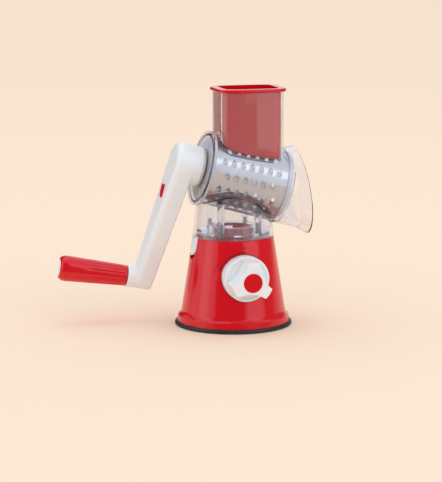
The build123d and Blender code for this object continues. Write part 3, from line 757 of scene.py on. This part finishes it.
@dataclass
class GratingDrum:
    """Steel cone with rows of drop-shaped raised mouths."""

    rear_s_mm: float = -29.5
    front_s_mm: float = 48.5
    rear_radius_mm: float = 31.0
    front_radius_mm: float = 33.5
    sheet_mm: float = 0.8
    rows: int = 14
    first_tooth_s_mm: float = -20.0
    pitch_mm: float = 9.7
    teeth: int = 7
    phase_deg: float = -11.0
    tooth_height_mm: float = 2.2
    scale_foot_mm: float = -4.4
    scale_middle_mm: float = -0.6
    scale_reach_mm: float = 4.1
    scale_half_mm: float = 2.7
    foot_half_mm: float = 0.8
    mouth_low_mm: float = 0.8
    mouth_top_mm: float = 4.3
    mouth_half_mm: float = 2.5
    tip_half_mm: float = 0.35
    columns: int = 12
    hold: int = 4
    stations_mm: tuple[float, ...] = (
        -7.3, -5.6, -4.4, -3.8, -3.0, -2.0, -1.0, 0.0, 0.8, 2.0, 3.2, 4.3, 5.0, 6.2, 7.3,
    )

    def radius(self, s_mm: float) -> float:
        """Outer radius of the sheet at a place along the axis."""
        share = (s_mm - self.rear_s_mm) / (self.front_s_mm - self.rear_s_mm)
        return self.rear_radius_mm + (self.front_radius_mm - self.rear_radius_mm) * share

    def half_width(self, v_mm: float) -> float:
        """Half width of the drop: a point above its middle, a round end below.

        Args:
            v_mm: Height up the drop from its middle.

        Returns:
            The half width, in millimetres.
        """
        if v_mm >= self.mouth_low_mm:
            share = (self.mouth_top_mm - v_mm) / (self.mouth_top_mm - self.mouth_low_mm)
            return max(self.tip_half_mm + (self.mouth_half_mm - self.tip_half_mm) * share, self.tip_half_mm)
        across = (v_mm - self.scale_middle_mm) / self.scale_reach_mm
        return max(self.scale_half_mm * math.sqrt(max(1 - across**2, 0.0)), self.foot_half_mm)

    def rise(self, v_mm: float) -> float:
        """How far the raised scale's middle stands out at a height up the drop.

        Args:
            v_mm: Height up the drop from its middle.

        Returns:
            The rise, in millimetres, which ends at the mouth.
        """
        if v_mm > self.mouth_low_mm + 0.01:
            return 0.0
        share = min(max(1 - v_mm / self.scale_foot_mm, 0.0), 1.0)
        return self.tooth_height_mm * share * share * (3 - 2 * share)

    def tooth_of(self, row: int, s_mm: float) -> float | None:
        """Middle of the tooth whose cell holds a place along a row.

        Args:
            row: The row's number.
            s_mm: Place along the axis.

        Returns:
            The tooth's middle along the axis, or None between the rows' ends.
        """
        stagger = 0.0 if row % 2 else self.pitch_mm / 2
        count = self.teeth if row % 2 else self.teeth - 1
        index = round((s_mm - self.first_tooth_s_mm - stagger) / self.pitch_mm)
        if not 0 <= index < count:
            return None
        return self.first_tooth_s_mm + stagger + index * self.pitch_mm

    def wrapped(self, column: int, line: int) -> tuple[Vector, bool]:
        """Place of one vertex of the flat grid on the drum.

        Args:
            column: Its number along the axis.
            line: Its number round the drum.

        Returns:
            The place in the drum's frame, and whether the face above it and
            towards the front is part of a mouth.
        """
        lines = len(self.stations_mm) - 1
        row, step = divmod(line, lines)
        v_mm = self.stations_mm[step]
        start = self.first_tooth_s_mm - self.pitch_mm / 2
        s_mm = start + (column - 2) * self.pitch_mm / self.columns
        if column < 2:
            s_mm = self.rear_s_mm + (start - self.rear_s_mm) * column / 2
        last = 2 + self.teeth * self.columns
        if column > last:
            end = start + self.teeth * self.pitch_mm
            s_mm = end + (self.front_s_mm - end) * (column - last) / 2
        lift, mouth = 0.0, False
        middle = None
        if 2 < column < last:
            middle = self.tooth_of(row % self.rows, s_mm + 1e-6)
            if middle is not None and abs(s_mm - middle) > self.pitch_mm / 2 - 0.01:
                middle = None
        if middle is not None and self.scale_foot_mm - 0.6 < v_mm < self.mouth_top_mm + 0.3:
            offset = (s_mm - middle) / (self.pitch_mm / self.columns)
            width = self.half_width(v_mm)
            half = self.pitch_mm / 2
            reach = abs(offset)
            if reach <= self.hold + 0.01:
                across = width * reach / self.hold
                lift = self.rise(v_mm) * max(1 - (reach / self.hold) ** 2, 0.0) ** 0.8
            else:
                free = self.columns / 2 - self.hold
                across = width + (half - width) * (reach - self.hold) / free
            s_mm = middle + math.copysign(across, offset)
            mouth = (
                self.mouth_low_mm - 0.1 < v_mm < self.mouth_top_mm - 0.1
                and -self.hold - 0.01 <= offset < self.hold - 0.01
            )
        pitch_angle = 2 * math.pi / self.rows
        share = -v_mm / (self.stations_mm[-1] - self.stations_mm[0])
        angle = pitch_angle * (share - row) + math.radians(self.phase_deg)
        r_mm = self.radius(s_mm) + lift
        return Vector((r_mm * math.cos(angle), r_mm * math.sin(angle), s_mm)) * MM, mouth

    def build(self) -> bpy.types.Object:
        """Wraps a grid into the drum, raises its scales and opens their mouths.

        Returns:
            The drum.
        """
        lines_per_row = len(self.stations_mm) - 1
        across, around = self.teeth * self.columns + 4, self.rows * lines_per_row
        bpy.ops.object.select_all(action="DESELECT")
        bpy.ops.mesh.primitive_grid_add(x_subdivisions=across, y_subdivisions=around, size=2)
        drum = bpy.context.object
        drum.name = "grating_drum"
        mouths: set[tuple[int, int]] = set()
        where: dict[int, tuple[int, int]] = {}
        for vertex in drum.data.vertices:
            column = round((vertex.co.x + 1) / 2 * across)
            line = round((vertex.co.y + 1) / 2 * around)
            where[vertex.index] = (column, line)
        for vertex in drum.data.vertices:
            column, line = where[vertex.index]
            vertex.co, mouth = self.wrapped(column, line)
            if mouth:
                mouths.add((column, line))
        corners = [min(where[v] for v in face.vertices) for face in drum.data.polygons]
        take(drum)
        bpy.ops.object.mode_set(mode="EDIT")
        select_faces(drum, lambda face: corners[face.index] in mouths)
        bpy.ops.mesh.delete(type="FACE")
        bpy.ops.mesh.select_all(action="SELECT")
        bpy.ops.mesh.remove_doubles(threshold=0.01 * MM)
        bpy.ops.mesh.normals_make_consistent(inside=False)
        bpy.ops.object.mode_set(mode="OBJECT")
        apply_modifier(drum, "SOLIDIFY", thickness=self.sheet_mm * MM, offset=-1.0)
        bpy.ops.object.shade_smooth_by_angle(angle=math.radians(50))
        place(drum, joint_frame("drum_spin", UP))
        return hand_over(drum, STEEL_SHEET, Body.DRUM, ["drum_blade"])


@dataclass
class GripHandle:
    """Red tapered grip with a domed outer end and shallow grooves on its inner part."""

    start_mm: float = 16.6
    length_mm: float = 71.2
    inner_mm: float = 10.8
    outer_mm: float = 13.4
    bore_mm: float = 3.1
    dome_mm: float = 7.5
    end_flat_mm: float = 8.9
    recess_mm: float = 8.8
    recess_depth_mm: float = 7.0
    grooves: int = 10
    groove_mm: float = 0.55
    groove_end_mm: float = 47.0

    def cut(self, angle: float, along_mm: float) -> float:
        """Depth of the grooves at an angle and a distance from the inner end.

        Args:
            angle: Angle about the grip's axis, in radians.
            along_mm: Distance from the inner end.

        Returns:
            How far the surface lies in, in millimetres.
        """
        wave = max(math.cos(self.grooves * angle), 0.0) ** 3
        rise = min(max((along_mm - 2.0) / 4.0, 0.0), 1.0)
        fall = min(max((self.groove_end_mm - along_mm) / 7.0, 0.0), 1.0)
        return self.groove_mm * wave * rise * fall * fall

    def build(self) -> bpy.types.Object:
        """Turns the grip and sinks its grooves.

        Returns:
            The grip.
        """
        start, end, wide = self.start_mm, self.start_mm + self.length_mm, self.outer_mm
        taper = (wide - self.inner_mm) / (self.length_mm - 10.0)
        side = [(self.inner_mm + taper * k * 2.2, start + 1.0 + k * 2.2) for k in range(28)]
        turns = [math.pi / 2 * k / 10 for k in range(11)]
        flat, tall = self.end_flat_mm, self.dome_mm
        dome = [(flat + (wide - flat) * math.cos(a), end - tall + tall * math.sin(a)) for a in turns]
        outline = [
            (self.bore_mm, start), (self.inner_mm - 1.0, start), (self.inner_mm - 0.3, start + 0.3), *side,
            *dome, (self.recess_mm, end - 0.1), (self.recess_mm, end - self.recess_depth_mm),
            (self.bore_mm, end - self.recess_depth_mm),
        ]
        grip = turned("crank_grip", outline, 160)
        for vertex in grip.data.vertices:
            along_mm = vertex.co.z / MM - start
            out_mm = math.hypot(vertex.co.x, vertex.co.y) / MM
            if out_mm > self.inner_mm - 0.5:
                depth = self.cut(math.atan2(vertex.co.y, vertex.co.x), along_mm)
                vertex.co.x *= 1 - depth / out_mm
                vertex.co.y *= 1 - depth / out_mm
        take(grip)
        bpy.ops.object.shade_smooth_by_angle(angle=math.radians(40))
        place(grip, joint_frame("grip_spin", UP))
        return hand_over(grip, RED_ABS, Body.GRIP, ["grip"])


# --------------------------------------------------------------- studio


@dataclass(frozen=True)
class SoftPanel:
    """A soft box or a board at a bearing round the object, facing it.

    Its power is in watts for a soft box, and the brightness of its face for a board.
    """

    name: str
    azimuth: float
    elevation: float
    distance: float
    width: float
    height: float
    power: float


@dataclass
class Studio:
    """Plain pale floor, soft boxes and the camera."""

    floor_colour: str = "FBE4CB"
    target: Vector = Vector((0, 0, 0.110))
    azimuth: float = -15.4
    elevation: float = 9.0
    distance: float = 2.2
    lens: float = 159.4
    panels: tuple[SoftPanel, ...] = (
        SoftPanel("panel_front_right", 38, 30, 2.4, 1.2, 1.2, 3.0),
        SoftPanel("box_above", 200, 74, 2.2, 1.4, 1.2, 2.5),
    )
    boards: tuple[SoftPanel, ...] = (
        SoftPanel("board_low", 12, -5.3, 1.182, 2.2, 2.1, 0.12),
        SoftPanel("board_left", -84, 20, 1.45, 0.62, 1.4, 1.9),
        SoftPanel("board_front_right", 34, 24, 1.05, 0.70, 1.1, 1.5),
        SoftPanel("flag_front", -22, 26, 1.0, 1.5, 1.3, 0.03),
        SoftPanel("flag_right", 95, 14, 1.5, 2.2, 1.7, 0.18),
        SoftPanel("flag_back", -150, 14, 1.5, 1.6, 1.6, 0.05),
    )

    def direction(self, azimuth: float, elevation: float) -> Vector:
        """Unit vector from the object at a bearing; 0 is the front, 90 is +X."""
        a, e = math.radians(azimuth), math.radians(elevation)
        return Vector((math.sin(a) * math.cos(e), -math.cos(a) * math.cos(e), math.sin(e)))

    def floor(self) -> None:
        """Lays the floor."""
        bpy.ops.object.select_all(action="DESELECT")
        bpy.ops.mesh.primitive_plane_add(size=120)
        floor = bpy.context.object
        floor.name = "floor"
        tone = self.floor_colour
        paint = Finish("matt_floor", tone, tone, 0.9, 0.02, 800.0, 60.0, 0.01, ior=1.0)
        floor.data.materials.append(paint.material())

    def lights(self) -> None:
        """Hangs the soft boxes and sets the even light of the room."""
        for panel in self.panels:
            data = bpy.data.lights.new(panel.name, "AREA")
            data.shape, data.size, data.size_y = "RECTANGLE", panel.width, panel.height
            data.energy = panel.power
            lamp = bpy.data.objects.new(panel.name, data)
            bpy.context.scene.collection.objects.link(lamp)
            back = self.direction(panel.azimuth, panel.elevation)
            lamp.location = self.target + back * panel.distance
            lamp.rotation_mode = "QUATERNION"
            lamp.rotation_quaternion = (-back).to_track_quat("-Z", "Y")
            lamp.visible_camera = False
        for board in self.boards:
            self.hang(board)
        world = bpy.data.worlds.new("room")
        bpy.context.scene.world = world
        world.use_nodes = True
        room = world.node_tree.nodes["Background"]
        room.inputs["Color"].default_value = srgb("F6F9FF")
        room.inputs["Strength"].default_value = 1.04

    def hang(self, board: SoftPanel) -> None:
        """Hangs a light or dark board that only shows in reflections, as a studio's do.

        Args:
            board: Its place, size and brightness. One that is lower than the target lies flat.
        """
        bpy.ops.object.select_all(action="DESELECT")
        bpy.ops.mesh.primitive_plane_add(size=1)
        face = bpy.context.object
        face.name = board.name
        face.scale = (board.width, board.height, 1)
        back = self.direction(board.azimuth, board.elevation)
        face.location = self.target + back * board.distance
        face.rotation_mode = "QUATERNION"
        if board.elevation > 0:
            face.rotation_quaternion = (-back).to_track_quat("Z", "Y")
        paint = bpy.data.materials.new(board.name)
        paint.use_nodes = True
        paint.node_tree.nodes.clear()
        glow = add_node(
            paint.node_tree, "ShaderNodeEmission", {"Color": srgb("F2F0F2"), "Strength": board.power}
        )
        add_node(paint.node_tree, "ShaderNodeOutputMaterial", {"Surface": glow.outputs["Emission"]})
        face.data.materials.append(paint)
        face.visible_camera = face.visible_diffuse = False
        face.visible_transmission = face.visible_shadow = False

    def camera(self) -> None:
        """Sets the camera at the object's three-quarter front view."""
        data = bpy.data.cameras.new("camera")
        data.lens = self.lens
        data.shift_x, data.shift_y = -0.0253, -0.0477
        data.clip_start, data.clip_end = 0.05, 200
        camera = bpy.data.objects.new("camera", data)
        bpy.context.scene.collection.objects.link(camera)
        back = self.direction(self.azimuth, self.elevation)
        camera.location = self.target + back * self.distance
        camera.rotation_mode = "QUATERNION"
        camera.rotation_quaternion = (-back).to_track_quat("-Z", "Y")
        bpy.context.scene.camera = camera

    def build(self) -> None:
        """Builds floor, lights and camera, with colours shown as they are."""
        self.floor()
        self.lights()
        self.camera()
        bpy.context.scene.view_settings.view_transform = "Standard"


def main() -> None:
    """Builds the studio, dresses the CAD nodes and models the new pieces."""
    logging.basicConfig(level=logging.INFO, format="%(name)s: %(message)s")
    Studio().build()
    CadDress.from_record().dress()
    SuctionPad().build()
    BaseTrim().build()
    LockKnob().build()
    GratingDrum().build()
    GripHandle().build()


if __name__ == "__main__":
    main()
